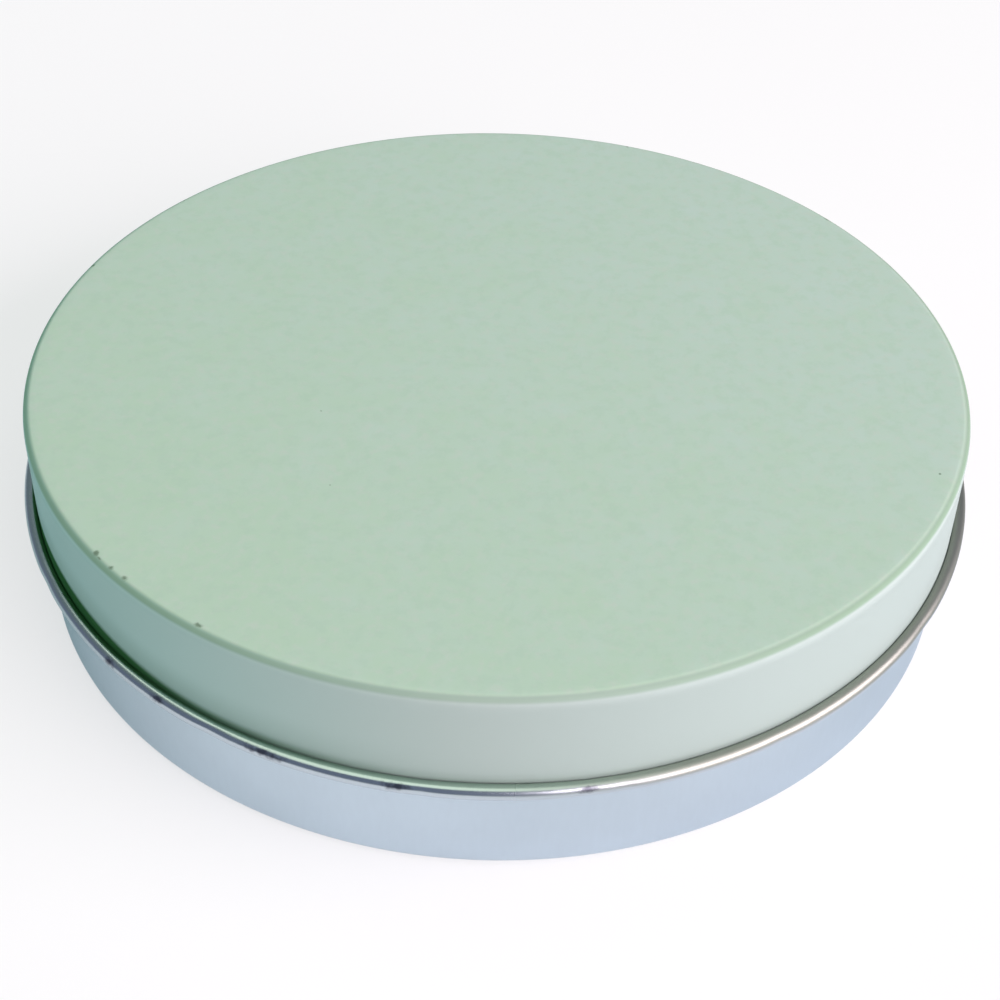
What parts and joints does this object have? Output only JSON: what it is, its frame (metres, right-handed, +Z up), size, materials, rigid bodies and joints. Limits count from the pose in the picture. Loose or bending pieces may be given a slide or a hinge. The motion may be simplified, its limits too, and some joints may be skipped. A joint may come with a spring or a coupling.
{
  "type": "cosmetic tin",
  "caption": "Shallow round slip-lid tin for cosmetics: a painted lid with a rolled lower edge fits over a plain tinplate base and lifts straight off.",
  "frame": {"origin": "on the table, under the middle of the base", "axes": "+Z up along the tin's axis; the tin is round, so +X and +Y only mark right and back in the picture's view"},
  "size_m": [0.1026, 0.1026, 0.023],
  "materials": {
    "bare_tinplate": "bare tinplate with fine rolling grain and a satin, slightly blue shine",
    "sage_enamel": "pale sage-green stoved enamel on tinplate, semi-gloss, chipped at the edge"
  },
  "bodies": {
    "base": {"base": "bare_tinplate"},
    "lid": {"lid": "sage_enamel"}
  },
  "joints": [
    {"name": "lid_lift", "type": "slide", "parent": "base", "child": "lid", "axis": [0, 0, 1], "range_m": [0, 0.05]}
  ]
}
